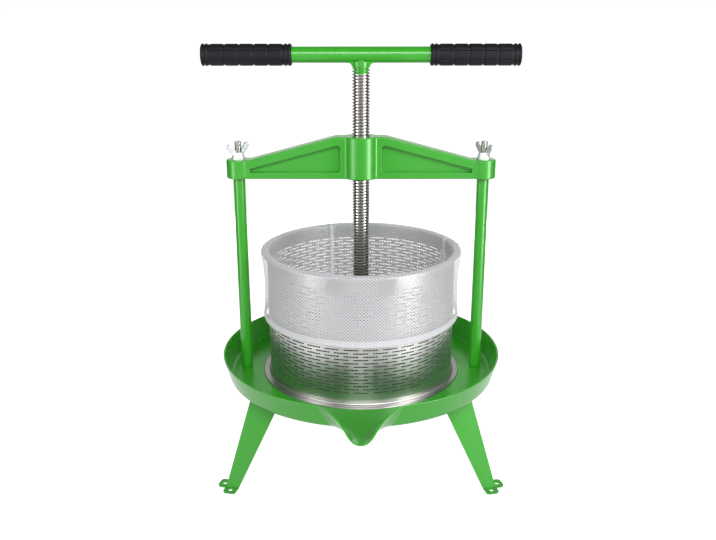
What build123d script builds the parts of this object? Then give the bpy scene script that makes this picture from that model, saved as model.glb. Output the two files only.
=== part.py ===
from build123d import *
import os
from math import atan2, ceil, cos, pi, radians, sin, sqrt, tan

# Manual fruit press with a slotted basket, a drip tray on three legs and a screw-driven plate.
# Millimetres, +Z up. The origin is on the floor under the press axis and the spout points to -Y.

os.makedirs("parts", exist_ok=True)

# Fits
running_clearance = 0.3  # curved faces that move past each other
fastener_clearance = 0.15  # a fastener in its own hole
cloth_clearance = 0.3  # filter cloth beside metal

# Posts with their studs and bolts
post_spacing = 286.4
post_dia = 14.0
post_length = 240.3
post_edge = 0.8
stud_dia = 8.0
stud_point = 0.8  # chamfer at the ends of a stud
stud_engagement = 20.0  # tapped depth taken up in the post
stud_above_boss = 21.0
post_bolt_length = 16.0
bolt_head_width = 13.0
bolt_head_height = 5.3
washer_dia = 16.0
washer_thickness = 1.6

# Tray, pressed from sheet with a pouring spout
post_margin = 19.3  # floor outside the post axes
tray_flare = 8.0  # lean of the wall between floor and rim
tray_depth = 28.0
tray_sheet = 2.0
tray_bend = 4.0  # inside radius between floor and wall
rim_edge_radius = 0.6

# Spout, a round-bottomed trough that narrows like a bell, with its lip running down from the rim to the tip
spout_overhang = 29.0  # tip, from the tray rim
# Outside sections: distance in front of the tray rim, width of the floor, width level with the rim,
# and the share of the floor or flank that the round corners take up
spout_sections = [
    (-16.0, 88.0, 120.0, 0.3),
    (-6.0, 54.0, 92.0, 0.45),
    (2.0, 39.0, 73.0, 0.6),
    (13.0, 26.0, 58.0, 0.85),
    (spout_overhang, 20.0, 50.0, 0.92),
]
spout_tip_radius = 20.0
spout_tip_lip = 1.5  # lip left standing above the trough floor at the tip

# Legs, folded angles with the fold outward and two foot tabs each
leg_height = 117.0
leg_inset = 14.5  # fold under the tray, from the edge of its floor
leg_splay = 39.0  # fold at the floor, further out than under the tray
leg_top_width = 38.5
leg_foot_width = 15.5
leg_sheet = 2.0
foot_tab_length = 11.0
foot_tab_corner = 4.0
foot_hole_dia = 6.0
leg_azimuths = {"leg_front_left": 210.0, "leg_front_right": 330.0, "leg_rear": 90.0}

# Screw, trapezoidal right-hand thread
screw_dia = 20.0
screw_pitch = 3.5
thread_depth = 2.0
thread_crest_share = 0.366  # crest width in pitches
thread_flank_angle = 15.0
flank_points = 5
spigot_step = 1.0  # plain ends of the screw, below the thread's root
groove_depth = 2.0  # retaining groove in the lower spigot
neck_above_hub = 78.3  # handle neck over the casting at rest

# Crossbeam casting
boss_wall = 7.0  # boss round the end of a post
boss_height = 22.0
hub_wall = 10.0  # hub round the screw
hub_bore_clearance = 0.5  # round the thread's crests
hub_height = 48.8
beam_depth = 20.0
beam_web = 6.0
beam_top_flat = 58.0
beam_top_corner = 18.0
bottom_flange = 7.0
pocket_tip_height = 4.8  # low end of the pocket, beside the boss
hub_rib = 4.0  # full-depth metal beside the hub
pocket_corner = 4.0
pocket_tip_corner = 1.5
casting_edge = 1.5
casting_blend = 5.0  # hub and bosses into the sides of the beam
casting_draft = 8.0  # lean of the pocket walls
pocket_edge = 0.8  # rounding round the mouth of a pocket

# Handle
tube_dia = 18.0
tube_wall = 1.5
handle_length = 360.0
neck_wall = 3.25
neck_height = 4.0
neck_flare = 5.5  # spread along the tube
neck_flare_width = 10.0  # across the tube
flare_drop = 5.0  # top of the flare, below the tube axis
collar_rise = 2.0  # round part of the neck, above the underside of the tube
grip_wall = 3.5
grip_length = 102.0
grip_end = 3.0
grip_edge = 1.5
grip_groove_depth = 1.2
grip_groove_width = 1.6
grip_collar = 9.0  # ringed length at each end of a grip
grip_ring_inset = 3.0
grip_blocks = 5
grip_flutes = 8

# Basket
basket_dia = 224.0
basket_sheet = 0.8
basket_height = 154.0
basket_rim_turn = 7.5  # top edge turned outward
ring_width = 9.5
ring_sheet = 1.5
ring_collar_height = 5.0
ring_fillet = 2.0
ring_edge = 1.0  # rounding of the flange's outer edge
slot_length = 16.6
slot_width = 1.4
slot_row_pitch = 8.0
slots_per_row = 32
slot_band_bottom = 16.0  # plain metal below the lowest row
slot_band_top = 18.0  # plain metal above the highest row

# Filter bag, folded over the basket rim
cloth = 1.0
cuff_length = 81.0
cuff_waist_drop = 44.5  # narrowest part of the cuff, below the rim
cuff_waist_gap = 5.0  # outside of the cuff from the shell
cuff_hem_gap = 7.5

# Press plate and its swivel hub
plate_gap = 2.9  # plate edge to the bag
plate_sheet = 3.0
plate_rim_height = 12.0
plate_bend = 2.0  # inside radius between plate and rim
plate_rest = 64.0  # underside over the tray floor at rest
flange_width = 17.0
flange_thickness = 6.0
swivel_wall = 11.0
swivel_height = 30.0  # flange and boss together
socket_base = 6.0  # metal under the socket
thrust_thickness = 2.0
plate_screw_dia = 5.0
plate_screw_head = 9.6
countersink_angle = 82.0
plate_screw_count = 4
retaining_screw_dia = 6.0
retaining_point_step = 0.5
groove_play = 0.7  # each side of the screw's point

# Wing nuts
wing_nut_base_dia = 15.0
wing_nut_top_dia = 12.0
wing_nut_height = 6.5
wing_span = 33.0
wing_height = 17.0
wing_thickness = 1.8
ear_root_radius = 2.8
ear_root_offset = 4.0  # from the stud axis
ear_lift = 0.5  # over the washer
ear_tip_radius = 3.6
wing_turn = {"left": 49.0, "right": 117.0}  # direction of the wings in plan

# Sizes that follow from the ones above
tray_floor_dia = post_spacing + 2 * post_margin
tray_rim_dia = tray_floor_dia + 2 * tray_flare
spout_reach = tray_rim_dia / 2 + spout_overhang
leg_top_radius = tray_floor_dia / 2 - leg_inset
leg_foot_radius = leg_top_radius + leg_splay
boss_dia = post_dia + 2 * boss_wall
hub_dia = screw_dia + 2 * hub_wall
thread_crest = thread_crest_share * screw_pitch
spigot_dia = screw_dia - 2 * thread_depth - 2 * spigot_step
groove_dia = spigot_dia - 2 * groove_depth
neck_dia = spigot_dia + 2 * neck_wall
neck_flare_dia = neck_dia + 2 * neck_flare
grip_dia = tube_dia + 2 * grip_wall
basket_rim_dia = basket_dia + 2 * basket_rim_turn
basket_ring_dia = basket_dia + 2 * ring_width
cuff_waist_dia = basket_dia + 2 * cuff_waist_gap
cuff_hem_dia = basket_dia + 2 * cuff_hem_gap
shell_inside = basket_dia / 2 - basket_sheet
liner = shell_inside - cloth_clearance  # outside of the bag in the basket
plate_dia = 2 * (liner - cloth - plate_gap)
swivel_dia = spigot_dia + 2 * swivel_wall
flange_dia = swivel_dia + 2 * flange_width
plate_screw_pcd = (swivel_dia + flange_dia) / 2
retaining_point_dia = retaining_screw_dia - 2 * retaining_point_step
groove_width = retaining_point_dia + 2 * groove_play

# Levels and places
tray_bottom = leg_height
tray_floor = tray_bottom + tray_sheet
tray_rim = tray_bottom + tray_depth
post_x = post_spacing / 2
beam_bottom = tray_floor + post_length
boss_top = beam_bottom + boss_height
hub_top = beam_bottom + hub_height
neck_bottom = hub_top + neck_above_hub
tube_axis = neck_bottom + neck_height + tube_dia / 2
plate_bottom = tray_floor + plate_rest
plate_top = plate_bottom + plate_sheet
socket_floor = plate_top + socket_base
swivel_top = plate_top + swivel_height
spigot_end = socket_floor + thrust_thickness
groove_middle = (spigot_end + swivel_top) / 2
basket_top = tray_floor + basket_height
thread_start = swivel_top + running_clearance
post_places = [(-post_x, 0), (post_x, 0)]
upward = (Align.CENTER, Align.CENTER, Align.MIN)  # stands a cylinder on its place

# Tray wall, sloping outward from floor to rim
wall_lean = (tray_rim_dia - tray_floor_dia) / 2 / tray_depth
wall_across = tray_sheet * sqrt(1 + wall_lean**2)  # sheet measured level through the leaning wall
floor_radius = tray_floor_dia / 2
rim_radius = tray_rim_dia / 2
inner_floor_radius = floor_radius + tray_sheet * wall_lean - wall_across
inner_rim_radius = rim_radius - wall_across


def save(piece, name):
    piece.part.label = name
    export_step(piece.part, f"parts/{name}.step")


def trough_face(distance, bottom, floor_width, top_width, roundness):
    # Round-bottomed cross-section of the spout, this far in front of the axis, level with the rim at its top
    spread = (top_width - floor_width) / 2
    rise = tray_rim - bottom
    shorter_side = min(floor_width / 2, sqrt(spread**2 + rise**2))
    corner_radius = roundness * shorter_side * tan(pi / 4 + atan2(spread, rise) / 2)
    with BuildSketch(Plane.XZ.offset(distance)) as section:
        with BuildLine():
            Polyline(
                (-floor_width / 2, bottom),
                (floor_width / 2, bottom),
                (top_width / 2, tray_rim),
                (-top_width / 2, tray_rim),
                close=True,
            )
        make_face()
        fillet(section.vertices().group_by(Axis.Y)[0], corner_radius)
    return section.sketch.face()


def trough_faces(bottom, wall):
    # The spout's cross-sections from the tray to its tip, made narrower by this much each side
    return [
        trough_face(rim_radius + reach, bottom, floor_width - 2 * wall, top_width - 2 * wall, roundness)
        for reach, floor_width, top_width, roundness in spout_sections
    ]


def thread_rod(major_radius, crest, bottom, length):
    # Threaded rod: the cross-section of a single-start thread, twisted as it rises, about a turn at a time
    half_crest = 180 * crest / screw_pitch
    half_root = half_crest + 360 * thread_depth * tan(radians(thread_flank_angle)) / screw_pitch
    minor_radius = major_radius - thread_depth
    phase = 360 * bottom / screw_pitch

    def rim_point(share, side):
        angle = radians(phase + side * (half_crest + share * (half_root - half_crest)))
        radius = major_radius - share * thread_depth
        return (radius * cos(angle), radius * sin(angle))

    flank_shares = [step / (flank_points - 1) for step in range(flank_points)]
    with BuildSketch(Plane.XY.offset(bottom)) as section:
        with BuildLine():
            CenterArc((0, 0), major_radius, phase - half_crest, 2 * half_crest)
            Spline(*[rim_point(share, 1) for share in flank_shares])
            CenterArc((0, 0), minor_radius, phase + half_root, 360 - 2 * half_root)
            Spline(*[rim_point(share, -1) for share in flank_shares])
        make_face()
    turns = ceil(length / screw_pitch)
    rise = length / turns
    twist = 360 * rise / screw_pitch
    one_turn = Solid.extrude_linear_with_rotation(
        section.sketch.face(), (0, 0, bottom), (0, 0, rise), twist
    )
    ends = one_turn.faces().filter_by(GeomType.PLANE).sort_by(Axis.Z)
    flanks = one_turn.faces().filter_by(GeomType.PLANE, reverse=True)
    places = [Location((0, 0, turn * rise), (0, 0, turn * twist)) for turn in range(turns)]
    skin = [flank.moved(place) for place in places for flank in flanks]
    return Solid(Shell([ends[0], *skin, ends[-1].moved(places[-1])]))


# Spout trough, solid, with its tip rounded and its lip cut down from the rim to the tip
spout_root = rim_radius + spout_sections[0][0]
lip_start = inner_rim_radius
lip_drop = tray_depth - tray_sheet - spout_tip_lip
lip_plane = Plane(
    origin=(0, -lip_start, tray_rim),
    x_dir=(1, 0, 0),
    z_dir=(0, -lip_drop, spout_reach - lip_start),
)

with BuildPart() as trough:
    loft(trough_faces(tray_bottom, 0))
    with BuildSketch(Plane.XY.offset(tray_bottom)):
        with Locations((0, -spout_reach + spout_tip_radius)):
            Circle(spout_tip_radius)
        with Locations((0, -spout_root)):
            Rectangle(spout_sections[0][2], tray_sheet, align=(Align.CENTER, Align.MAX))
        make_hull()
    extrude(amount=tray_depth, mode=Mode.INTERSECT)
    split(bisect_by=lip_plane, keep=Keep.BOTTOM)

with BuildPart() as channel:
    loft(trough_faces(tray_floor, tray_sheet))

# Space inside the tray, up to its rim
with BuildPart() as tray_space:
    with BuildSketch(Plane.XZ):
        with BuildLine():
            Polyline(
                (0, tray_floor),
                (inner_floor_radius, tray_floor),
                (inner_rim_radius, tray_rim),
                (0, tray_rim),
                close=True,
            )
        make_face()
    revolve(axis=Axis.Z)

# Tray: dished sheet, the trough fused to its wall, the channel opened through the wall
with BuildPart() as tray:
    with BuildSketch(Plane.XZ) as tray_section:
        with BuildLine():
            Polyline(
                (0, tray_bottom),
                (floor_radius, tray_bottom),
                (rim_radius, tray_rim),
                (inner_rim_radius, tray_rim),
                (inner_floor_radius, tray_floor),
                (0, tray_floor),
                close=True,
            )
        make_face()
        fillet(tray_section.vertices().group_by(Axis.Y)[-1], rim_edge_radius)
        fillet(tray_section.vertices().group_by(Axis.Y)[0].sort_by(Axis.X)[-1], tray_bend + tray_sheet)
        inner_corner = tray_section.vertices().sort_by_distance((inner_floor_radius, tray_floor))[0]
        fillet(inner_corner, tray_bend)
    revolve(axis=Axis.Z)
    add(trough.part.cut(tray_space.part))
    add(channel.part, mode=Mode.SUBTRACT)
    with Locations(*[(x, y, tray_floor) for x, y in post_places]):
        Hole(stud_dia / 2 + running_clearance, tray_sheet)
save(tray, "tray")


def leg_face(plane, fold_radius, width):
    # Folded angle seen from above, its fold on the plane's X axis
    arm = width / sqrt(2)
    skin = leg_sheet / sqrt(2)
    with BuildSketch(plane) as section:
        with BuildLine():
            Polyline(
                (fold_radius, 0),
                (fold_radius - arm, arm),
                (fold_radius - arm - skin, arm - skin),
                (fold_radius - 2 * skin, 0),
                (fold_radius - arm - skin, skin - arm),
                (fold_radius - arm, -arm),
                close=True,
            )
        make_face()
    return section.sketch.face()


# Legs, each with two foot tabs bent outward and drilled
tab_reach = foot_tab_length + leg_sheet
tab_middle = (foot_tab_length - leg_sheet) / 2
for leg_name, azimuth in leg_azimuths.items():
    leg_floor = Plane.XY.rotated((0, 0, azimuth))
    with BuildPart() as leg:
        loft(
            [
                leg_face(leg_floor, leg_foot_radius, leg_foot_width),
                leg_face(leg_floor.offset(leg_height), leg_top_radius, leg_top_width),
            ],
            ruled=True,
        )
        with BuildSketch(leg_floor):
            for side in (1, -1):
                place = Vector(tab_middle, side * leg_foot_width / 2).rotate(Axis.Z, side * 45)
                with Locations((leg_foot_radius + place.X, place.Y)):
                    RectangleRounded(tab_reach, leg_foot_width, foot_tab_corner, rotation=side * 45)
                    Circle(foot_hole_dia / 2, mode=Mode.SUBTRACT)
        extrude(amount=leg_sheet)
    save(leg, leg_name)

# Posts, tapped at both ends
for side, x in (("left", -post_x), ("right", post_x)):
    with BuildPart() as post:
        with Locations((x, 0, tray_floor)):
            Cylinder(post_dia / 2, post_length, align=upward)
        chamfer(post.edges().filter_by(GeomType.CIRCLE), post_edge)
        with Locations((x, 0, beam_bottom)):
            Hole(stud_dia / 2 + fastener_clearance, stud_engagement)
        with Locations(Plane((x, 0, tray_floor), z_dir=(0, 0, -1))):
            Hole(stud_dia / 2 + fastener_clearance, post_bolt_length)
    save(post, f"post_{side}")

# Studs in the tops of the posts
with BuildPart() as upper_studs:
    with Locations(*[(x, y, beam_bottom - stud_engagement) for x, y in post_places]):
        Cylinder(stud_dia / 2, stud_engagement + boss_height + stud_above_boss, align=upward)
    chamfer(upper_studs.edges().filter_by(GeomType.CIRCLE), stud_point)
save(upper_studs, "upper_studs")

# Washers and hexagon bolts that hold the posts from under the tray
bolt_seat = tray_bottom - washer_thickness
with BuildPart() as post_washers:
    with BuildSketch(Plane.XY.offset(bolt_seat)):
        with Locations(*post_places):
            Circle(washer_dia / 2)
            Circle(stud_dia / 2 + running_clearance, mode=Mode.SUBTRACT)
    extrude(amount=washer_thickness)
save(post_washers, "post_washers")

with BuildPart() as post_bolts:
    with BuildSketch(Plane.XY.offset(bolt_seat)):
        with Locations(*post_places):
            RegularPolygon(bolt_head_width / 2, 6, major_radius=False)
    extrude(amount=-bolt_head_height)
    with Locations(*[(x, y, bolt_seat) for x, y in post_places]):
        Cylinder(stud_dia / 2, post_bolt_length, align=upward)
save(post_bolts, "post_bolts")

# Crossbeam casting: a pocketed beam, with a hub for the screw and a boss for each post blended into its sides
beam_end = post_x + boss_dia / 2
slope_end = post_x - boss_dia / 2
slope_start = beam_top_flat / 2
top_fall = (hub_height - boss_height) / (slope_end - slope_start)
pocket_inside = hub_dia / 2 + hub_rib
pocket_floor = beam_bottom + bottom_flange
pocket_tip = pocket_floor + pocket_tip_height
pocket_top = pocket_tip + (slope_end - pocket_inside) * top_fall
pocket_depth = (beam_depth - beam_web) / 2

with BuildPart() as crossbeam:
    with BuildSketch(Plane.XY.offset(beam_bottom)) as beam_plan:
        Rectangle(post_spacing, beam_depth)
        Circle(hub_dia / 2)
        with Locations(*post_places):
            Circle(boss_dia / 2)
        fillet(beam_plan.vertices(), casting_blend)
    extrude(amount=hub_height)
    with BuildSketch(Plane.XZ) as beam_section:
        with BuildLine():
            Polyline(
                (-beam_end, beam_bottom),
                (beam_end, beam_bottom),
                (beam_end, boss_top),
                (slope_end, boss_top),
                (slope_start, hub_top),
                (-slope_start, hub_top),
                (-slope_end, boss_top),
                (-beam_end, boss_top),
                close=True,
            )
        make_face()
        fillet(beam_section.vertices().group_by(Axis.Y)[-1], beam_top_corner)
    extrude(amount=hub_dia, both=True, mode=Mode.INTERSECT)
    uprights = crossbeam.edges().filter_by(Axis.Z)
    creases = crossbeam.edges().filter_by(Axis.Y)
    fillet(crossbeam.edges() - uprights - creases, casting_edge)
    for face_plane in (
        Plane.XZ.offset(beam_depth / 2),
        Plane((0, beam_depth / 2, 0), x_dir=(-1, 0, 0), z_dir=(0, 1, 0)),
    ):
        with BuildSketch(face_plane) as pocket:
            with BuildLine():
                Polyline(
                    (pocket_inside, pocket_floor),
                    (slope_end, pocket_floor),
                    (slope_end, pocket_tip),
                    (pocket_inside, pocket_top),
                    close=True,
                )
            make_face()
            fillet(pocket.vertices().group_by(Axis.X)[0], pocket_corner)
            fillet(pocket.vertices().group_by(Axis.X)[-1], pocket_tip_corner)
            mirror(about=Plane.YZ)
        extrude(amount=-pocket_depth, taper=casting_draft, mode=Mode.SUBTRACT)
    mouths = [face.inner_wires() for face in crossbeam.faces().filter_by(Axis.Y)]
    fillet([edge for wires in mouths for wire in wires for edge in wire.edges()], pocket_edge)
    with Locations(*[(x, y, boss_top) for x, y in post_places]):
        Hole(stud_dia / 2 + running_clearance, boss_height)
    with Locations((0, 0, hub_top)):
        Hole(screw_dia / 2 + hub_bore_clearance, hub_height)
save(crossbeam, "crossbeam")

# Washer and wing nut on each stud
nut_seat = boss_top + washer_thickness
ear_tip = (wing_span / 2 - ear_tip_radius, wing_height - ear_tip_radius)
for side, x in (("left", -post_x), ("right", post_x)):
    with BuildPart() as stud_washer:
        with BuildSketch(Plane.XY.offset(boss_top)):
            with Locations((x, 0)):
                Circle(washer_dia / 2)
                Circle(stud_dia / 2 + running_clearance, mode=Mode.SUBTRACT)
        extrude(amount=washer_thickness)
    save(stud_washer, f"washer_{side}")

    turn = radians(wing_turn[side])
    wing_plane = Plane(
        origin=(x, 0, nut_seat), x_dir=(cos(turn), sin(turn), 0), z_dir=(sin(turn), -cos(turn), 0)
    )
    with BuildPart() as wing_nut:
        with BuildSketch(wing_plane):
            for hand in (1, -1):
                with BuildSketch(mode=Mode.PRIVATE) as ear:
                    with Locations((hand * ear_root_offset, ear_root_radius + ear_lift)):
                        Circle(ear_root_radius)
                    with Locations((hand * ear_tip[0], ear_tip[1])):
                        Circle(ear_tip_radius)
                    make_hull()
                add(ear.sketch)
        extrude(amount=wing_thickness / 2, both=True)
        with BuildSketch(Plane((x, 0, nut_seat), x_dir=(1, 0, 0), z_dir=(0, -1, 0))):
            with BuildLine():
                Polyline(
                    (0, 0),
                    (wing_nut_base_dia / 2, 0),
                    (wing_nut_top_dia / 2, wing_nut_height),
                    (0, wing_nut_height),
                    close=True,
                )
            make_face()
        revolve(axis=Axis((x, 0, 0), (0, 0, 1)))
        with Locations((x, 0, nut_seat + wing_height)):
            Hole(stud_dia / 2 + running_clearance, wing_height)
    save(wing_nut, f"wing_nut_{side}")

# Press plate, dished, with countersunk holes for its hub
plate_inside = plate_dia / 2 - plate_sheet
with BuildPart() as press_plate:
    with BuildSketch(Plane.XZ) as plate_section:
        with BuildLine():
            Polyline(
                (0, plate_bottom),
                (plate_dia / 2, plate_bottom),
                (plate_dia / 2, plate_bottom + plate_rim_height),
                (plate_inside, plate_bottom + plate_rim_height),
                (plate_inside, plate_top),
                (0, plate_top),
                close=True,
            )
        make_face()
        outer_corner = plate_section.vertices().group_by(Axis.Y)[0].sort_by(Axis.X)[-1]
        fillet(outer_corner, plate_bend + plate_sheet)
        inner_corner = plate_section.vertices().sort_by_distance((plate_inside, plate_top))[0]
        fillet(inner_corner, plate_bend)
    revolve(axis=Axis.Z)
    with Locations(Plane((0, 0, plate_bottom), z_dir=(0, 0, -1))):
        with PolarLocations(plate_screw_pcd / 2, plate_screw_count):
            CounterSinkHole(
                plate_screw_dia / 2 + fastener_clearance,
                plate_screw_head / 2 + fastener_clearance,
                plate_sheet,
                countersink_angle,
            )
save(press_plate, "press_plate")

# Swivel hub on the plate, bored for the screw's lower spigot
with BuildPart() as plate_hub:
    with BuildSketch(Plane.XZ):
        with BuildLine():
            Polyline(
                (0, plate_top),
                (flange_dia / 2, plate_top),
                (flange_dia / 2, plate_top + flange_thickness),
                (swivel_dia / 2, plate_top + flange_thickness),
                (swivel_dia / 2, swivel_top),
                (spigot_dia / 2 + running_clearance, swivel_top),
                (spigot_dia / 2 + running_clearance, socket_floor),
                (0, socket_floor),
                close=True,
            )
        make_face()
    revolve(axis=Axis.Z)
    with Locations(Plane((0, 0, plate_top), z_dir=(0, 0, -1))):
        with PolarLocations(plate_screw_pcd / 2, plate_screw_count):
            Hole(plate_screw_dia / 2 + fastener_clearance, flange_thickness)
    with Locations(Plane((0, 0, groove_middle), z_dir=(1, 0, 0))):
        Hole(retaining_screw_dia / 2 + fastener_clearance, swivel_dia)
save(plate_hub, "plate_hub")

# Bronze disc that takes the thrust of the screw
with BuildPart() as thrust_disc:
    with Locations((0, 0, socket_floor)):
        Cylinder(spigot_dia / 2, thrust_thickness, align=upward)
save(thrust_disc, "thrust_disc")

# Countersunk screws from under the plate into the hub's flange
screw_head_depth = (plate_screw_head - plate_screw_dia) / 2 / tan(radians(countersink_angle / 2))
with BuildPart() as plate_screws:
    with PolarLocations(plate_screw_pcd / 2, plate_screw_count):
        with Locations((0, 0, plate_bottom)):
            Cone(plate_screw_head / 2, plate_screw_dia / 2, screw_head_depth, align=upward)
            Cylinder(plate_screw_dia / 2, plate_sheet + flange_thickness, align=upward)
save(plate_screws, "plate_screws")

# Dog-point screws that hold the spigot's groove so that the screw lifts the plate
point_end = groove_dia / 2 + running_clearance
point_root = spigot_dia / 2 + 2 * running_clearance
with BuildPart() as retaining_screws:
    for hand in (1, -1):
        groove_plane = Plane((0, 0, groove_middle), z_dir=(hand, 0, 0))
        with BuildSketch(groove_plane.offset(point_end)):
            Circle(retaining_point_dia / 2)
        extrude(amount=swivel_dia / 2 - point_end)
        with BuildSketch(groove_plane.offset(point_root)):
            Circle(retaining_screw_dia / 2)
        extrude(amount=swivel_dia / 2 - point_root)
save(retaining_screws, "retaining_screws")

# Screw: thread between two plain spigots, the lower one grooved
with BuildPart() as screw:
    add(thread_rod(screw_dia / 2, thread_crest, thread_start, neck_bottom - thread_start))
    with BuildSketch(Plane.XZ):
        with BuildLine():
            Polyline(
                (0, spigot_end),
                (spigot_dia / 2, spigot_end),
                (spigot_dia / 2, groove_middle - groove_width / 2),
                (groove_dia / 2, groove_middle - groove_width / 2),
                (groove_dia / 2, groove_middle + groove_width / 2),
                (spigot_dia / 2, groove_middle + groove_width / 2),
                (spigot_dia / 2, thread_start),
                (0, thread_start),
                close=True,
            )
        make_face()
    revolve(axis=Axis.Z)
    with Locations((0, 0, neck_bottom)):
        Cylinder(spigot_dia / 2, tube_axis - neck_bottom, align=upward)
save(screw, "screw")

# Handle tube across the top of the screw
tube_length = handle_length - 2 * grip_end
neck_bore = spigot_dia / 2 + fastener_clearance
with BuildPart() as handle_tube:
    with BuildSketch(Plane((0, 0, tube_axis), x_dir=(0, 1, 0), z_dir=(1, 0, 0))):
        Circle(tube_dia / 2)
        Circle(tube_dia / 2 - tube_wall, mode=Mode.SUBTRACT)
    extrude(amount=tube_length / 2, both=True)
    with Locations((0, 0, neck_bottom)):
        Cylinder(neck_bore, tube_axis - neck_bottom, align=upward, mode=Mode.SUBTRACT)
save(handle_tube, "handle_tube")

# Neck welded under the tube, flared along it
tube_underside = tube_axis - tube_dia / 2
flare_top = tube_axis - flare_drop
with BuildPart() as handle_neck:
    with BuildSketch(Plane.XZ):
        with BuildLine():
            foot = Line((0, neck_bottom), (neck_dia / 2, neck_bottom))
            flare = TangentArc(foot @ 1, (neck_flare_dia / 2, tube_underside), tangent=(0, 1))
            Polyline(flare @ 1, (neck_flare_dia / 2, flare_top), (0, flare_top), foot @ 0)
        make_face()
        mirror(about=Plane.YZ)
    extrude(amount=neck_flare_width / 2, both=True)
    with Locations((0, 0, neck_bottom)):
        Cylinder(neck_dia / 2, neck_height + collar_rise, align=upward)
        Cylinder(neck_bore, flare_top - neck_bottom, align=upward, mode=Mode.SUBTRACT)
    with BuildSketch(Plane((0, 0, tube_axis), x_dir=(0, 1, 0), z_dir=(1, 0, 0))):
        Circle(tube_dia / 2)
    extrude(amount=neck_flare_dia, both=True, mode=Mode.SUBTRACT)
save(handle_neck, "handle_neck")

# Rubber grips: ringed ends, and blocks parted by rings and flutes between them
block_band = grip_length - 2 * grip_collar
for side, hand in (("left", -1), ("right", 1)):
    grip_outer_end = hand * handle_length / 2
    grip_plane = Plane((grip_outer_end, 0, tube_axis), x_dir=(0, 1, 0), z_dir=(-hand, 0, 0))
    ring_starts = [grip_ring_inset, grip_length - grip_ring_inset - grip_groove_width]
    for step in range(grip_blocks + 1):
        ring_starts.append(grip_collar - grip_groove_width / 2 + step * block_band / grip_blocks)
    with BuildPart() as grip:
        with BuildSketch(grip_plane):
            Circle(grip_dia / 2)
        extrude(amount=grip_length)
        fillet(grip.edges().filter_by(GeomType.CIRCLE), grip_edge)
        for start in ring_starts:
            with BuildSketch(grip_plane.offset(start)):
                Circle(grip_dia)
                Circle(grip_dia / 2 - grip_groove_depth, mode=Mode.SUBTRACT)
            extrude(amount=grip_groove_width, mode=Mode.SUBTRACT)
        with BuildSketch(grip_plane.offset(grip_collar)):
            with PolarLocations(grip_dia / 2, grip_flutes):
                Rectangle(2 * grip_groove_depth, grip_groove_width)
        extrude(amount=block_band, mode=Mode.SUBTRACT)
        with BuildSketch(grip_plane.offset(grip_end)):
            Circle(tube_dia / 2 + fastener_clearance)
        extrude(amount=grip_length, mode=Mode.SUBTRACT)
    save(grip, f"grip_{side}")

# Basket shell: slotted sheet with its top edge turned outward, the slots of every other row staggered
slot_band = basket_height - slot_band_bottom - slot_band_top
slot_places = []
for row in range(int(slot_band // slot_row_pitch) + 1):
    slot_level = tray_floor + slot_band_bottom + row * slot_row_pitch
    for step in range(slots_per_row):
        bearing = 360 * (step + row % 2 / 2) / slots_per_row
        around = Location((0, 0, slot_level), (0, 0, bearing))
        slot_places.append(around * Location((basket_dia / 2, 0, 0)))
with BuildPart() as basket_shell:
    with BuildSketch(Plane.XZ):
        with BuildLine():
            Polyline(
                (shell_inside, tray_floor),
                (basket_dia / 2, tray_floor),
                (basket_dia / 2, basket_top - basket_sheet),
                (basket_rim_dia / 2, basket_top - basket_sheet),
                (basket_rim_dia / 2, basket_top),
                (shell_inside, basket_top),
                close=True,
            )
        make_face()
    revolve(axis=Axis.Z)
    with Locations(*slot_places):
        Box(4 * basket_sheet, slot_length, slot_width, mode=Mode.SUBTRACT)
save(basket_shell, "basket_shell")

# Base ring round the foot of the shell
with BuildPart() as basket_ring:
    with BuildSketch(Plane.XZ) as ring_section:
        with BuildLine():
            Polyline(
                (basket_dia / 2, tray_floor),
                (basket_ring_dia / 2, tray_floor),
                (basket_ring_dia / 2, tray_floor + ring_sheet),
                (basket_dia / 2 + ring_sheet, tray_floor + ring_sheet),
                (basket_dia / 2 + ring_sheet, tray_floor + ring_collar_height),
                (basket_dia / 2, tray_floor + ring_collar_height),
                close=True,
            )
        make_face()
        inner_corner = ring_section.vertices().sort_by_distance(
            (basket_dia / 2 + ring_sheet, tray_floor + ring_sheet)
        )[0]
        fillet(inner_corner, ring_fillet)
        flange_corner = ring_section.vertices().sort_by_distance(
            (basket_ring_dia / 2, tray_floor + ring_sheet)
        )[0]
        fillet(flange_corner, ring_edge)
    revolve(axis=Axis.Z)
save(basket_ring, "basket_ring")

# Filter bag: lines the basket and folds over its rim in a cuff
fold = basket_rim_dia / 2 + cloth_clearance
fold_level = basket_top + cloth_clearance
bag_floor = tray_floor + cloth_clearance
cuff_waist = basket_top - cuff_waist_drop
cuff_hem = basket_top - cuff_length
with BuildPart() as filter_bag:
    with BuildSketch(Plane.XZ):
        with BuildLine():
            Polyline(
                (0, bag_floor),
                (liner, bag_floor),
                (liner, fold_level),
                (fold, fold_level),
                (cuff_waist_dia / 2 - cloth, cuff_waist),
                (cuff_hem_dia / 2 - cloth, cuff_hem),
                (cuff_hem_dia / 2, cuff_hem),
                (cuff_waist_dia / 2, cuff_waist),
                (fold + cloth, fold_level + cloth),
                (liner - cloth, fold_level + cloth),
                (liner - cloth, bag_floor + cloth),
                (0, bag_floor + cloth),
                close=True,
            )
        make_face()
    revolve(axis=Axis.Z)
save(filter_bag, "filter_bag")
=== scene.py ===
import bpy, bmesh
from math import atan2, ceil, cos, exp, pi, radians, sin, tau
from mathutils import Matrix, Vector, noise


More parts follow.
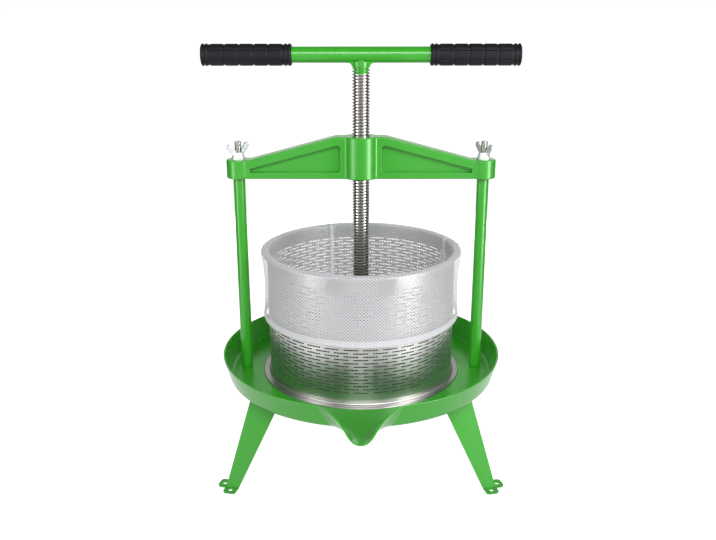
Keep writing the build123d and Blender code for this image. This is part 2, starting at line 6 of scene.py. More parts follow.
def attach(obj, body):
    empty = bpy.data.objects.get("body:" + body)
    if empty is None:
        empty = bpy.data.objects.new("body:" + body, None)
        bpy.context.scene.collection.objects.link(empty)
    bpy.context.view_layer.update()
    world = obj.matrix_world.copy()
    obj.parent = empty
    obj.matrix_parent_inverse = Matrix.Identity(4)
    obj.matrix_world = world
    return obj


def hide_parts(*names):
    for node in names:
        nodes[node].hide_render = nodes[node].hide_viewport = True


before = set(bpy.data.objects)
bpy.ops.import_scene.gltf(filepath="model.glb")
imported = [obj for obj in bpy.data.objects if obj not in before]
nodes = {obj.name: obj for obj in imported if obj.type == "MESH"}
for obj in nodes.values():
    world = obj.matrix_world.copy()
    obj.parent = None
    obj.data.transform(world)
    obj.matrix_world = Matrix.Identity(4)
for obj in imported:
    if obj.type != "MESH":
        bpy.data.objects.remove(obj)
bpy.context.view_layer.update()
print("frame loaded:", len(nodes), "nodes")

mm = 0.001
weld = 1e-6  # vertices closer than this many metres are merged
sides = (("Left", -1), ("Right", 1))


# helpers

def linear(hexColour):
    # sRGB hex to the linear colour that the shaders want
    parts = [int(hexColour[i:i + 2], 16) / 255 for i in (1, 3, 5)]
    return tuple(c / 12.92 if c <= 0.04045 else ((c + 0.055) / 1.055) ** 2.4 for c in parts) + (1.0,)


def feed(tree, sockets, values):
    # another node's output is linked, a plain value is set on the socket
    for key, value in values.items():
        if isinstance(value, bpy.types.NodeSocket):
            tree.links.new(value, sockets[key])
        else:
            sockets[key].default_value = value


def addNode(tree, kind, inputs=None, **settings):
    # a Mix of colours takes them at inputs 6 and 7 and gives output 2
    made = tree.nodes.new("ShaderNode" + kind)
    for key, value in settings.items():
        setattr(made, key, value)
    feed(tree, made.inputs, inputs or {})
    return made.outputs


def newMaterial(name):
    material = bpy.data.materials.new(name)
    material.use_nodes = True
    return material, material.node_tree, material.node_tree.nodes["Principled BSDF"]


def addObject(name, data):
    made = bpy.data.objects.new(name, data)
    bpy.context.scene.collection.objects.link(made)
    return made


def addMesh(name, bm, material):
    mesh = bpy.data.meshes.new(name)
    bm.to_mesh(mesh)
    bm.free()
    mesh.materials.append(material)
    return addObject(name, mesh)


def makePiece(name, bm, material, body, smoothAngle):
    piece = addMesh(name, bm, material)
    piece.data.shade_smooth()
    piece.data.set_sharp_from_angle(angle=radians(smoothAngle))
    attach(piece, body)
    return piece


def wrapGrid(columns, rows, place):
    # a flat grid whose columns run round the piece and whose rows run along it, then put in place
    bm = bmesh.new()
    bm.loops.layers.uv.new("UVMap")
    bmesh.ops.create_grid(bm, x_segments=columns, y_segments=rows, size=0.5, calc_uvs=True)
    for v in bm.verts:
        i = round((v.co.x + 0.5) * columns)
        j = round((v.co.y + 0.5) * rows)
        v.co = place(i, j)
    bmesh.ops.remove_doubles(bm, verts=bm.verts, dist=weld)
    bmesh.ops.recalc_face_normals(bm, faces=bm.faces)
    return bm


def threadedRod(rod, axisX=0.0):
    # one pitch of the thread's profile, spun up the rod as a helix, with its ends cut square
    radius, depth, pitch, low, high = [rod[key] * mm for key in ("radius", "depth", "pitch", "low", "high")]
    crest = rod["crestShare"]
    flank = (1 - 2 * crest) / 2
    root = radius - depth
    profile = [(radius, 0), (radius, crest), (root, crest + flank), (root, 1 - flank), (radius, 1)]
    lead = 2  # turns below the rod, cut off again
    start = low - lead * pitch
    turns = ceil((high - low) / pitch) + lead + 1
    bm = bmesh.new()
    verts = [bm.verts.new((axisX + r, 0, start + h * pitch)) for r, h in profile]
    edges = [bm.edges.new(pair) for pair in zip(verts, verts[1:])]
    bmesh.ops.spin(
        bm, geom=verts + edges, cent=(axisX, 0, 0), axis=(0, 0, 1),
        dvec=(0, 0, pitch / rod["steps"]), angle=turns * tau, steps=turns * rod["steps"],
    )
    bmesh.ops.remove_doubles(bm, verts=bm.verts, dist=weld)
    for level, isFoot in ((low, True), (high, False)):
        cut = bmesh.ops.bisect_plane(
            bm, geom=bm.verts[:] + bm.edges[:] + bm.faces[:], plane_co=(0, 0, level), plane_no=(0, 0, 1),
            clear_inner=isFoot, clear_outer=not isFoot,
        )
        rim = [e for e in cut["geom_cut"] if isinstance(e, bmesh.types.BMEdge)]
        bmesh.ops.contextual_create(bm, geom=rim)
    bmesh.ops.recalc_face_normals(bm, faces=bm.faces)
    return bm


# materials

# gloss powder coat on steel and cast metal: an even green film with soft orange peel and broad highlights
greenCoat, tree, shader = newMaterial("glossPowderCoat")
coords = addNode(tree, "TexCoord")["Object"]
drift = addNode(tree, "TexNoise", {"Vector": coords, "Scale": 1000 / 70, "Detail": 2.0})["Fac"]  # 70 mm
peel = addNode(tree, "TexNoise", {"Vector": coords, "Scale": 1000 / 2.2, "Detail": 1.0})["Fac"]  # 2.2 mm
tone = addNode(tree, "Mix", {0: drift, 6: linear("#2f9f1c"), 7: linear("#36a822")}, data_type="RGBA")[2]
feed(tree, shader.inputs, {
    "Base Color": tone,
    "Roughness": addNode(tree, "MapRange", {"Value": drift, "To Min": 0.25, "To Max": 0.31})[0],
    "Normal": addNode(tree, "Bump", {"Height": peel, "Strength": 0.06, "Distance": 0.4 * mm})[0],
    "IOR": 1.5, "Coat Weight": 0.12, "Coat Roughness": 0.16,
})

# cold-rolled stainless sheet: pale, clear, with fine rolling lines round the barrel
stainless, tree, shader = newMaterial("stainlessSheet")
coords = addNode(tree, "TexCoord")["Object"]
flow = addNode(tree, "Mapping", {"Vector": coords, "Scale": (1, 1, 40)})[0]
lines = addNode(tree, "TexNoise", {"Vector": flow, "Scale": 1000 / 28, "Detail": 3.0})["Fac"]  # 0.7 mm high
tone = addNode(tree, "Mix", {0: lines, 6: linear("#b3b2b0"), 7: linear("#c6c5c3")}, data_type="RGBA")[2]
feed(tree, shader.inputs, {
    "Base Color": tone,
    "Roughness": addNode(tree, "MapRange", {"Value": lines, "To Min": 0.28, "To Max": 0.4})[0],
    "Normal": addNode(tree, "Bump", {"Height": lines, "Strength": 0.04, "Distance": 0.1 * mm})[0],
    "Metallic": 1.0,
})

# turned steel thread: painted shade darkens the base colour from the bright crests down into the roots, green
# overspray at its top
threadSteel, tree, shader = newMaterial("turnedSteel")
coords = addNode(tree, "TexCoord")["Object"]
flatRadius = addNode(tree, "VectorMath", {0: coords, 1: (1, 1, 0)}, operation="MULTIPLY")[0]
reach = addNode(tree, "VectorMath", {0: flatRadius}, operation="LENGTH")["Value"]
height = addNode(tree, "MapRange", {"Value": reach, "From Min": 8.0 * mm, "From Max": 9.7 * mm})[0]
# painted shade: the base colour goes from pale grey at the crests to dark grey in the thread roots
steel = addNode(tree, "Mix", {0: height, 6: linear("#74716c"), 7: linear("#c4c2be")}, data_type="RGBA")[2]
ragged = addNode(tree, "TexNoise", {"Vector": coords, "Scale": 1000 / 5, "Detail": 2.0})["Fac"]  # 5 mm
level = addNode(tree, "SeparateXYZ", {0: coords})["Z"]
edge = addNode(tree, "Math", {0: ragged, 1: 3 * mm, 2: level}, operation="MULTIPLY_ADD")[0]
paint = addNode(tree, "MapRange", {"Value": edge, "From Min": 479.0 * mm, "From Max": 481.0 * mm})[0]
tone = addNode(tree, "Mix", {0: paint, 6: steel, 7: linear("#36a822")}, data_type="RGBA")[2]
feed(tree, shader.inputs, {
    "Base Color": tone,
    "Roughness": addNode(tree, "MapRange", {"Value": height, "To Min": 0.42, "To Max": 0.22})[0],
    "Metallic": addNode(tree, "Math", {0: 1.0, 1: paint}, operation="SUBTRACT")[0],
})

# bright zinc plate on the fasteners: cool, slightly cloudy
zincPlate, tree, shader = newMaterial("brightZincPlate")
coords = addNode(tree, "TexCoord")["Object"]
cloud = addNode(tree, "TexNoise", {"Vector": coords, "Scale": 1000 / 3, "Detail": 3.0})["Fac"]  # 3 mm
tone = addNode(tree, "Mix", {0: cloud, 6: linear("#cfd1d4"), 7: linear("#e6e8ea")}, data_type="RGBA")[2]
feed(tree, shader.inputs, {
    "Base Color": tone,
    "Roughness": addNode(tree, "MapRange", {"Value": cloud, "To Min": 0.4, "To Max": 0.52})[0],
    "Metallic": 0.7,
})

# turned bronze for the thrust disc: warm, with faint patches
bronze, tree, shader = newMaterial("turnedBronze")
coords = addNode(tree, "TexCoord")["Object"]
cloud = addNode(tree, "TexNoise", {"Vector": coords, "Scale": 1000 / 4, "Detail": 2.0})["Fac"]  # 4 mm
tone = addNode(tree, "Mix", {0: cloud, 6: linear("#8c6a38"), 7: linear("#b58a4c")}, data_type="RGBA")[2]
feed(tree, shader.inputs, {
    "Base Color": tone,
    "Metallic": 1.0, "Roughness": 0.3,
})

# moulded rubber: near black, matt, with a fine grain
rubber, tree, shader = newMaterial("mouldedRubber")
coords = addNode(tree, "TexCoord")["Object"]
grain = addNode(tree, "TexNoise", {"Vector": coords, "Scale": 1000 / 0.9, "Detail": 2.0})["Fac"]  # 0.9 mm
tone = addNode(tree, "Mix", {0: grain, 6: linear("#0e0e13"), 7: linear("#1a1a21")}, data_type="RGBA")[2]
feed(tree, shader.inputs, {
    "Base Color": tone,
    "Normal": addNode(tree, "Bump", {"Height": grain, "Strength": 0.25, "Distance": 0.2 * mm})[0],
    "Roughness": 0.52, "Specular IOR Level": 0.15,
})
print("materials made")

# CAD nodes keep their shape and take a finish
finishes = {
    greenCoat: ["tray", "leg_front_left", "leg_front_right", "leg_rear", "post_left", "post_right",
                "crossbeam", "handle_tube", "handle_neck"],
    zincPlate: ["post_washers", "post_bolts", "washer_left", "washer_right", "wing_nut_left",
                "wing_nut_right", "plate_screws", "retaining_screws"],
    stainless: ["press_plate", "plate_hub", "basket_ring"],
    bronze: ["thrust_disc"],
}
for finish, names in finishes.items():
    for name in names:
        nodes[name].data.materials.clear()
        nodes[name].data.materials.append(finish)


# basket shell, every row of slots cut through

shell = {
    "radius": 112.0, "sheet": 0.8, "bottom": 119.0, "top": 273.0, "rimRadius": 119.5, "smoothAngle": 35,
    "slotLength": 16.6, "slotWidth": 1.4, "rowPitch": 4.0, "rows": 31, "firstRow": 135.0, "perRow": 32,
    "underRows": 6.0, "underRim": 2.0,  # plain bands next to the slots and to the rim
}
period = tau / shell["perRow"]
half = shell["slotLength"] / 2 / shell["radius"]
stops = sorted([0, half, period / 2 - half, period / 2, period / 2 + half, period - half])
angles = [n * period + stop for n in range(shell["perRow"]) for stop in stops] + [tau]
rowLevels = [shell["firstRow"] + row * shell["rowPitch"] for row in range(shell["rows"])]
levels = [shell["bottom"], shell["firstRow"] - shell["underRows"]]
for middle in rowLevels:
    levels += [middle - shell["slotWidth"] / 2, middle + shell["slotWidth"] / 2]
levels += [shell["top"] - shell["underRim"], shell["top"], shell["top"]]


def shellPlace(i, j):
    radius = shell["rimRadius"] if j == len(levels) - 1 else shell["radius"]
    turn = angles[i]
    return Vector((radius * cos(turn), radius * sin(turn), levels[j])) * mm


bm = wrapGrid(len(angles) - 1, len(levels) - 1, shellPlace)
slots = []
for face in bm.faces:
    middle = face.calc_center_median() / mm
    row = round((middle.z - shell["firstRow"]) / shell["rowPitch"])
    if not 0 <= row < shell["rows"]:
        continue
    if abs(middle.z - rowLevels[row]) > shell["slotWidth"] / 2:
        continue
    turn = (atan2(middle.y, middle.x) / period + (row % 2) / 2) % 1  # every second row is half a period on
    if min(turn, 1 - turn) * period < half:
        slots.append(face)
bmesh.ops.delete(bm, geom=slots, context="FACES")
bmesh.ops.solidify(bm, geom=bm.faces[:], thickness=shell["sheet"] * mm)
basketShell = makePiece("basketShell", bm, stainless, "basket", shell["smoothAngle"])
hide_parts("basket_shell")
print("basket shell:", len(slots), "slot faces cut")


# screw with a real helix between its plain ends

screw = {
    "radius": 10.0, "depth": 2.0, "pitch": 3.5, "low": 216.3, "high": 486.4, "steps": 32, "crestShare": 0.37,
    "spigot": 7.0, "groove": 5.0, "spigotEnd": 194.0, "grooveLow": 201.8, "grooveHigh": 208.2,
    "tubeAxis": 499.4, "overlap": 0.5, "spigotSteps": 48, "smoothAngle": 50,
}
bm = threadedRod(screw)
lowTop = screw["low"] + screw["overlap"]
highFoot = screw["high"] - screw["overlap"]
lowSpigot = [
    (0, screw["spigotEnd"]), (screw["spigot"], screw["spigotEnd"]), (screw["spigot"], screw["grooveLow"]),
    (screw["groove"], screw["grooveLow"]), (screw["groove"], screw["grooveHigh"]),
    (screw["spigot"], screw["grooveHigh"]), (screw["spigot"], lowTop), (0, lowTop),
]
highSpigot = [
    (0, highFoot), (screw["spigot"], highFoot), (screw["spigot"], screw["tubeAxis"]), (0, screw["tubeAxis"]),
]
for profile in (lowSpigot, highSpigot):
    verts = [bm.verts.new((r * mm, 0, z * mm)) for r, z in profile]
    edges = [bm.edges.new(pair) for pair in zip(verts, verts[1:])]
    bmesh.ops.spin(
        bm, geom=verts + edges, cent=(0, 0, 0), axis=(0, 0, 1), angle=tau, steps=screw["spigotSteps"],
        use_merge=True,
    )
bmesh.ops.remove_doubles(bm, verts=bm.verts, dist=weld)
bmesh.ops.recalc_face_normals(bm, faces=bm.faces)
screwPiece = makePiece("screwThread", bm, threadSteel, "spindle", screw["smoothAngle"])
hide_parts("screw")
print("screw made")


# studs, threaded over their whole length

stud = {
    "radius": 4.0, "depth": 0.7, "pitch": 1.25, "low": 339.3, "high": 402.3, "steps": 20, "crestShare": 0.2,
    "spacing": 286.4, "smoothAngle": 50,
}
for side, hand in sides:
    bm = threadedRod(stud, hand * stud["spacing"] / 2 * mm)
    studPiece = makePiece("stud" + side, bm, threadSteel, "frame", stud["smoothAngle"])
    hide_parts("upper_studs")
print("studs made")


# rubber grips: ringed ends, blocks parted by grooves, fine ribs on the blocks

grip = {
    "radius": 12.4, "length": 102.0, "end": 180.0, "axis": 499.4, "bore": 9.05, "endWall": 3.0, "dome": 0.8,
    "collar": 10.0, "ringPlaces": (2.2, 6.6), "ringWidth": 1.3, "ringDepth": 1.1,
    "blocks": 5, "flutes": 6, "groove": 1.1, "grooveWidth": 0.9, "sink": 0.35, "rib": 0.16, "ribs": 32,
    "columns": 144, "domeRows": 6, "barrelRows": 194, "mouthRows": 4, "boreRows": 2, "smoothAngle": 60,
}
blockLength = (grip["length"] - 2 * grip["collar"]) / grip["blocks"]
fluteWidth = tau * grip["radius"] / grip["flutes"]
barrelEnd = grip["domeRows"] + grip["barrelRows"]
mouthEnd = barrelEnd + grip["mouthRows"]
boreEnd = mouthEnd + grip["boreRows"]


def gripRadius(along, turn):
    # along from the closed end in mm, turn round the grip
    fromEnd = min(along, grip["length"] - along)
    if fromEnd < grip["collar"]:
        ridge = max(exp(-((fromEnd - place) / grip["ringWidth"]) ** 4) for place in grip["ringPlaces"])
        return grip["radius"] - grip["ringDepth"] + grip["ringDepth"] * ridge
    block = (along - grip["collar"]) / blockLength
    flute = turn / tau * grip["flutes"] + 0.5  # grooves along the top and underside, none in front
    fromGroove = min(abs(block - round(block)) * blockLength, abs(flute - round(flute)) * fluteWidth)
    cut = exp(-(fromGroove / grip["grooveWidth"]) ** 2)
    ribs = grip["rib"] * cos(grip["ribs"] * turn)
    return grip["radius"] - grip["sink"] + ribs * (1 - cut) - grip["groove"] * cut


def gripPlace(hand, i, j):
    turn = tau * i / grip["columns"]
    if j < grip["domeRows"]:  # domed closed end
        bend = j / grip["domeRows"] * pi / 2
        radius = gripRadius(0, turn) * sin(bend)
        depth = grip["dome"] * (1 - cos(bend))
    elif j <= barrelEnd:
        along = grip["length"] * (j - grip["domeRows"]) / grip["barrelRows"]
        radius = gripRadius(along, turn)
        depth = max(along, grip["dome"])
    elif j <= mouthEnd:  # open end turns in to the tube
        share = (j - barrelEnd) / grip["mouthRows"]
        radius = gripRadius(grip["length"], turn) * (1 - share) + grip["bore"] * share
        depth = grip["length"]
    else:  # back along the bore to its closed end
        radius = grip["bore"] * (boreEnd - j)
        depth = grip["endWall"]
    x = hand * (grip["end"] - depth)
    return Vector((x, radius * cos(turn), grip["axis"] + radius * sin(turn))) * mm


for side, hand in sides:
    bm = wrapGrid(grip["columns"], boreEnd, lambda i, j: gripPlace(hand, i, j))
    gripPiece = makePiece("grip" + side, bm, rubber, "spindle", grip["smoothAngle"])
    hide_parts("grip_" + side.lower())
print("grips made")


# filter bag: lines the basket, folds over the rim and hangs outside as a cuff with a rolled hem

bag = {
    "floor": 119.9, "floorRings": (0, 25, 50, 75, 95, 106), "flatTo": 60.0, "corner": 3.0,
    "liner": 110.3, "linerLevels": range(129, 270, 5), "columns": 384, "smoothAngle": 180,
    "foldTop": 274.9, "foldRadius": 120.6, "foldHeight": 3.4, "foldRoundness": 0.6, "foldSteps": 10,
    "cuffDrop": 4.0, "cuffStep": 3.0, "waist": 229.0, "waistRadius": 116.9, "flare": 1.6,
    "hem": 192.2, "hemRadius": 119.4, "hemRoll": 1.5, "hemGap": 2.0, "hemTuck": 5.0,
    "linerWave": 0.25, "cuffWave": 0.9, "hemWave": 1.0, "waveTurns": 1.6, "waveHeight": 60.0,
    "hemTurns": 1.3, "hemShift": 7,  # the hem takes its waves from another part of the noise
    "pleats": 52, "pleatDepth": 0.7, "pleatRows": 7, "pleatSpread": 12, "pleatStray": 3,
    "fabricWidth": 0.7, "fabricLength": 0.31, "fabricArea": 0.215,
}
bagLine = [(r, bag["floor"]) for r in bag["floorRings"]]
bagLine += [
    (bag["liner"] + bag["corner"] * (sin(a) - 1), bag["floor"] + bag["corner"] * (1 - cos(a)))
    for a in (pi / 6, pi / 3, pi / 2)
]
bagLine += [(bag["liner"], z) for z in bag["linerLevels"]]
foldMiddle = (bag["foldRadius"] + bag["liner"]) / 2
foldHalf = (bag["foldRadius"] - bag["liner"]) / 2
foldFoot = bag["foldTop"] - bag["foldHeight"]
foldRow = len(bagLine) + bag["foldSteps"] // 2 - 1  # top of the fold
for step in range(1, bag["foldSteps"]):
    a = pi * step / bag["foldSteps"]
    lift = bag["foldHeight"] * sin(a) ** bag["foldRoundness"]
    bagLine.append((foldMiddle - foldHalf * cos(a), foldFoot + lift))
cuffRow = len(bagLine)
cuffTop = bag["foldTop"] - bag["cuffDrop"]
cuffRows = ceil((cuffTop - bag["hem"] - bag["hemGap"]) / bag["cuffStep"])
cuffLevels = [cuffTop - n * bag["cuffStep"] for n in range(cuffRows)] + [bag["hem"] + bag["hemRoll"]]
for z in cuffLevels:
    if z > bag["waist"]:
        share = (cuffTop - z) / (cuffTop - bag["waist"])
        r = bag["foldRadius"] + (bag["waistRadius"] - bag["foldRadius"]) * (1 - (1 - share) ** 2)
    else:
        share = (bag["waist"] - z) / (bag["waist"] - bag["hem"])
        r = bag["waistRadius"] + (bag["hemRadius"] - bag["waistRadius"]) * share ** bag["flare"]
    bagLine.append((r, z))
rollMiddle = bagLine[-1][0] - bag["hemRoll"]
bagLine += [
    (rollMiddle + bag["hemRoll"] * cos(a), bag["hem"] + bag["hemRoll"] * (1 - sin(a)))
    for a in (pi / 4, pi / 2, 3 * pi / 4, pi)
]
bagLine.append((rollMiddle - bag["hemRoll"], bag["hem"] + bag["hemTuck"]))
lengths = [0.0]
for (r0, z0), (r1, z1) in zip(bagLine, bagLine[1:]):
    lengths.append(lengths[-1] + ((r1 - r0) ** 2 + (z1 - z0) ** 2) ** 0.5)
bagLength = lengths[-1]
print("bag profile", round(bagLength, 1), "mm long")


def bagPlace(i, j):
    turn = tau * i / bag["columns"]
    r, z = bagLine[j]
    onCuff = max(0.0, (j - cuffRow) / (len(bagLine) - cuffRow))
    waveSpot = Vector((cos(turn) * bag["waveTurns"], sin(turn) * bag["waveTurns"], z / bag["waveHeight"]))
    wave = noise.noise(waveSpot)
    if r > bag["flatTo"]:
        r += (bag["linerWave"] + bag["cuffWave"] * onCuff) * wave
        hemSpot = Vector((cos(turn) * bag["hemTurns"] + bag["hemShift"], sin(turn) * bag["hemTurns"], 0))
        z += bag["hemWave"] * onCuff ** 2 * noise.noise(hemSpot)
        nearFold = exp(-((j - foldRow) / bag["pleatRows"]) ** 2)
        atSides = abs(cos(turn)) ** bag["pleatSpread"]  # gathered in small pleats at both sides of the fold
        r += bag["pleatDepth"] * nearFold * atSides * sin(bag["pleats"] * turn + bag["pleatStray"] * wave)
    return Vector((r * cos(turn), r * sin(turn), z)) * mm


bm = wrapGrid(bag["columns"], len(bagLine) - 1, bagPlace)
uvLayer = bm.loops.layers.uv.active
for face in bm.faces:
    for loop in face.loops:
        row = round(loop[uvLayer].uv.y * (len(bagLine) - 1))
        loop[uvLayer].uv.y = lengths[row] / bagLength  # true length up the cloth

# woven nylon mesh: white monofilament on the bias, open between the threads, sewn double at seams and hem
weave = {
    "thread": 2.6, "holeFrom": -0.05, "holeTo": 0.4, "biasTurns": (232, 252), "biasShare": 0.15,
    "seams": [(20.0, 9.0), (110.5, 5.0)], "seamEdge": 0.6, "hemWidth": 14.5, "hemEdge": 1.0, "hemCover": 0.7,
    "foldBand": (6.0, 2.0), "foldCover": 0.5, "sewnOpacity": 0.95, "holeOpacity": 0.03,
    "sheerUpTo": 165.0, "denseFrom": 190.0, "sheer": 0.3, "dense": 0.78, "lightThrough": 0.3,
}
nylon, tree, shader = newMaterial("wovenNylonMesh")
uv = addNode(tree, "UVMap", uv_map="UVMap")[0]
around = tau * bag["liner"]
spread = addNode(tree, "Mapping", {"Vector": uv, "Scale": (around, bagLength, 1)})[0]  # UV in mm
aroundAt, alongAt = addNode(tree, "SeparateXYZ", {0: spread})[:2]
biasPlaces = [turn / 360 * around for turn in weave["biasTurns"]]
bias = addNode(tree, "MapRange", {
    "Value": aroundAt, "From Min": biasPlaces[0], "From Max": biasPlaces[1],
}, interpolation_type="SMOOTHSTEP")[0]
gaps = []
threadPace = tau / (weave["thread"] * 2 ** 0.5)  # threads drawn coarser than real ones, so that they show
for slope, shares in ((1.0, (0.0, weave["biasShare"])), (-1.0, (weave["biasShare"], 0.0))):
    slant = addNode(tree, "Math", {0: alongAt, 1: slope, 2: aroundAt}, operation="MULTIPLY_ADD")[0]
    phase = addNode(tree, "Math", {0: slant, 1: threadPace}, operation="MULTIPLY")[0]
    thread = addNode(tree, "Math", {0: phase}, operation="SINE")[0]
    share = addNode(tree, "MapRange", {"Value": bias, "To Min": shares[0], "To Max": shares[1]})[0]
    gaps.append(addNode(tree, "MapRange", {
        "Value": thread, "From Min": weave["holeFrom"], "From Max": weave["holeTo"],
        "To Min": 1.0, "To Max": share,
    })[0])
hole = addNode(tree, "Math", {0: gaps[0], 1: gaps[1]}, operation="MULTIPLY")[0]
hemTop = bagLength - weave["hemWidth"]
sewn = addNode(tree, "MapRange", {
    "Value": alongAt, "From Min": hemTop - weave["hemEdge"], "From Max": hemTop, "To Max": weave["hemCover"],
})[0]
bands = [(alongAt, lengths[foldRow], *weave["foldBand"], weave["foldCover"])]
for turn, width in weave["seams"]:
    bands.append((aroundAt, turn / 360 * around, width / 2, width / 2 - weave["seamEdge"], 1.0))
for axis, place, outer, inner, cover in bands:
    offset = addNode(tree, "Math", {0: axis, 1: place}, operation="SUBTRACT")[0]
    gap = addNode(tree, "Math", {0: offset}, operation="ABSOLUTE")[0]
    band = addNode(tree, "MapRange", {"Value": gap, "From Min": outer, "From Max": inner, "To Max": cover})[0]
    sewn = addNode(tree, "Math", {0: sewn, 1: band}, operation="MAXIMUM")[0]
thick = addNode(tree, "MapRange", {  # the lower lining is drawn sheer, so that the slots outside it look dark
    "Value": alongAt, "From Min": weave["sheerUpTo"], "From Max": weave["denseFrom"],
    "To Min": weave["sheer"], "To Max": weave["dense"],
})[0]
closed = addNode(tree, "MapRange", {"Value": hole, "To Min": thick, "To Max": weave["holeOpacity"]})[0]
opacity = addNode(tree, "Mix", {0: sewn, 2: closed, 3: weave["sewnOpacity"]}, data_type="FLOAT")[0]
tone = addNode(tree, "Mix", {0: hole, 6: linear("#f6f5fb"), 7: linear("#e4e3ec")}, data_type="RGBA")[2]
tone = addNode(tree, "Mix", {0: sewn, 6: tone, 7: linear("#f8f8fb")}, data_type="RGBA")[2]
feed(tree, shader.inputs, {
    "Base Color": tone, "Roughness": 0.55, "Sheen Weight": 0.3,
    "Normal": addNode(tree, "Bump", {"Height": hole, "Strength": 0.3, "Distance": -0.2 * mm})[0],
})
lit = addNode(tree, "BsdfTranslucent", {"Color": tone})[0]
cloth = addNode(tree, "MixShader", {0: weave["lightThrough"], 1: shader.outputs[0], 2: lit})[0]
clear = addNode(tree, "BsdfTransparent")[0]
mesh = addNode(tree, "MixShader", {0: opacity, 1: clear, 2: cloth})[0]
feed(tree, tree.nodes["Material Output"].inputs, {"Surface": mesh})
filterBag = makePiece("filterBag", bm, nylon, "basket", bag["smoothAngle"])
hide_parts("filter_bag")
print("filter bag made")


# stage, light and camera

stage = {
    "floorSize": 60, "floorTone": "#a8a8a8", "floorDrop": 0.2, "glow": 0.9,
    "bounce": 0.38, "bounceRadius": 0.7, "bounceSteps": 48,
    "horizon": 1.0, "zenith": 0.2, "paleUpTo": 0.22, "dimFrom": 0.7,
}
white = (1, 1, 1, 1)
black = (0, 0, 0, 1)
matt = {"Roughness": 1.0, "Specular IOR Level": 0.0}


def glowPaper(name, tone, glow, finish):
    paper, tree, shader = newMaterial(name)
    feed(tree, shader.inputs, {"Base Color": tone, "Emission Color": white, "Emission Strength": glow})
    feed(tree, shader.inputs, finish)
    return paper


def stagePiece(name, bm, paper, hiddenFrom):
    piece = addMesh(name, bm, paper)
    for ray in hiddenFrom:
        setattr(piece, "visible_" + ray, False)
    return piece


paleFloor = glowPaper("paleFloor", linear(stage["floorTone"]), stage["glow"], matt)
paleBounce = glowPaper("paleBounce", black, stage["bounce"], matt)
bm = bmesh.new()
bmesh.ops.create_grid(bm, x_segments=1, y_segments=1, size=stage["floorSize"])
floorPiece = stagePiece("floor", bm, paleFloor, ["diffuse"])
floorPiece.location.z = -stage["floorDrop"] * mm
bm = bmesh.new()  # light thrown up by the floor near the press
bmesh.ops.create_circle(bm, cap_ends=True, segments=stage["bounceSteps"], radius=stage["bounceRadius"])
stagePiece("bounce", bm, paleBounce, ["camera", "glossy", "shadow"])

# upright cards that only reflections see, round the press by their bearings from the front
cards = {
    "leftDark": {"bearings": (-150, -70), "distance": 0.9, "span": (0, 0.9), "glow": 0.03},
    "leftStrip": {"bearings": (-66, -44), "distance": 0.95, "span": (0, 1.2), "glow": 5.5},
    "middle": {"bearings": (-22, 22), "distance": 0.12, "span": (0.25, 0.47), "glow": 0.45},
    "lowFront": {"bearings": (-48, 48), "distance": 1.2, "span": (0, 0.15), "glow": 0.2},
    "rightStrip": {"bearings": (44, 66), "distance": 0.95, "span": (0, 1.2), "glow": 11.0},
    "rightDark": {"bearings": (70, 150), "distance": 0.9, "span": (0, 0.9), "glow": 0.03},
}
for name, card in cards.items():
    bearings = [radians(turn) for turn in card["bearings"]]
    start, end = [(card["distance"] * sin(turn), -card["distance"] * cos(turn)) for turn in bearings]
    low, high = card["span"]
    bm = bmesh.new()
    corners = [(*start, low), (*end, low), (*end, high), (*start, high)]
    bm.faces.new([bm.verts.new(corner) for corner in corners])
    cardPaper = glowPaper(name, black, card["glow"], {})
    stagePiece(name, bm, cardPaper, ["camera", "diffuse", "shadow", "transmission"])

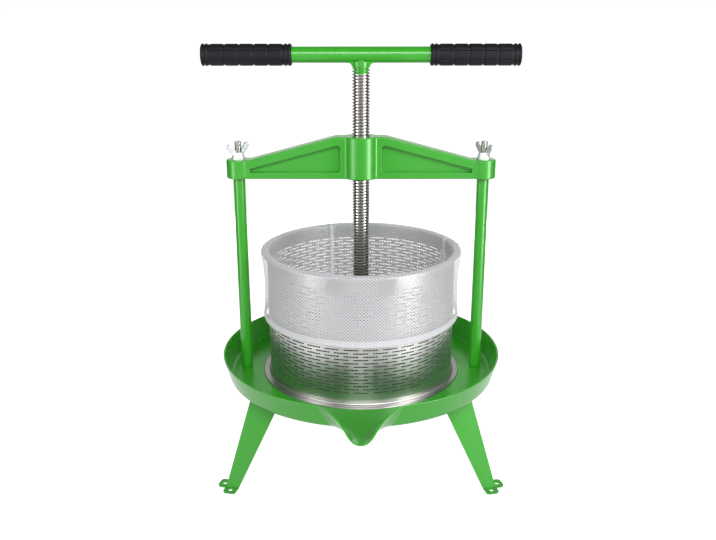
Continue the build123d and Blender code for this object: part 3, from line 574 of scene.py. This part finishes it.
world = bpy.data.worlds.new("studio")
world.use_nodes = True
tree = world.node_tree
heading = addNode(tree, "TexCoord")["Generated"]
rise = addNode(tree, "SeparateXYZ", {0: heading})["Z"]
sky = addNode(tree, "MapRange", {
    "Value": rise, "From Min": stage["paleUpTo"], "From Max": stage["dimFrom"],
    "To Min": stage["horizon"], "To Max": stage["zenith"],
}, interpolation_type="SMOOTHSTEP")[0]
feed(tree, tree.nodes["Background"].inputs, {"Color": white, "Strength": sky})
bpy.context.scene.world = world

lamps = {
    "front": {"at": (0.1, -1.75, 1.5), "aim": (0, 0, 0.3), "size": (1.2, 0.4), "power": 24, "gloss": True},
    "right": {"at": (1.35, -0.95, 1.2), "aim": (0, 0, 0.25), "size": (0.6, 0.8), "power": 8, "gloss": True},
    "back": {"at": (0, 1.3, 0.24), "aim": (0, 0, 0.23), "size": (1.2, 0.3), "power": 14, "gloss": False},
}
lampPieces = {}
for name, lamp in lamps.items():
    light = bpy.data.lights.new(name, "AREA")
    light.shape = "RECTANGLE"
    light.size, light.size_y = lamp["size"]
    light.energy = lamp["power"]
    lampPiece = addObject(name, light)
    lampPiece.location = lamp["at"]
    beam = Vector(lamp["aim"]) - Vector(lamp["at"])
    lampPiece.rotation_euler = beam.to_track_quat("-Z", "Y").to_euler()
    lampPiece.visible_camera = False
    lampPiece.visible_glossy = lamp["gloss"]
    lampPieces[name] = lampPiece
sideLit = bpy.data.collections.new("sideLit")  # left out by the front lamp, so the spout mirrors no glare
sideLit.objects.link(basketShell)
sideLit.collection_objects[0].light_linking.link_state = "EXCLUDE"
lampPieces["front"].light_linking.receiver_collection = sideLit

view = {
    "place": (0.00074, -0.9713, 0.5573), "pitch": 0.31107, "yaw": 0.00446, "roll": -0.001,
    "focal": 837.87, "imageWidth": 716, "sensor": 36, "farthest": 500,  # focal length and width in pixels
}
camera = bpy.data.cameras.new("camera")
camera.sensor_width = view["sensor"]
camera.lens = view["focal"] / view["imageWidth"] * view["sensor"]
camera.clip_end = view["farthest"]
cameraPiece = addObject("camera", camera)
cameraPiece.matrix_world = (
    Matrix.Translation(view["place"]) @ Matrix.Rotation(view["yaw"], 4, "Z")
    @ Matrix.Rotation(pi / 2 - view["pitch"], 4, "X") @ Matrix.Rotation(view["roll"], 4, "Z")
)
bpy.context.scene.camera = cameraPiece
bpy.context.scene.view_settings.view_transform = "Standard"
print("stage set")
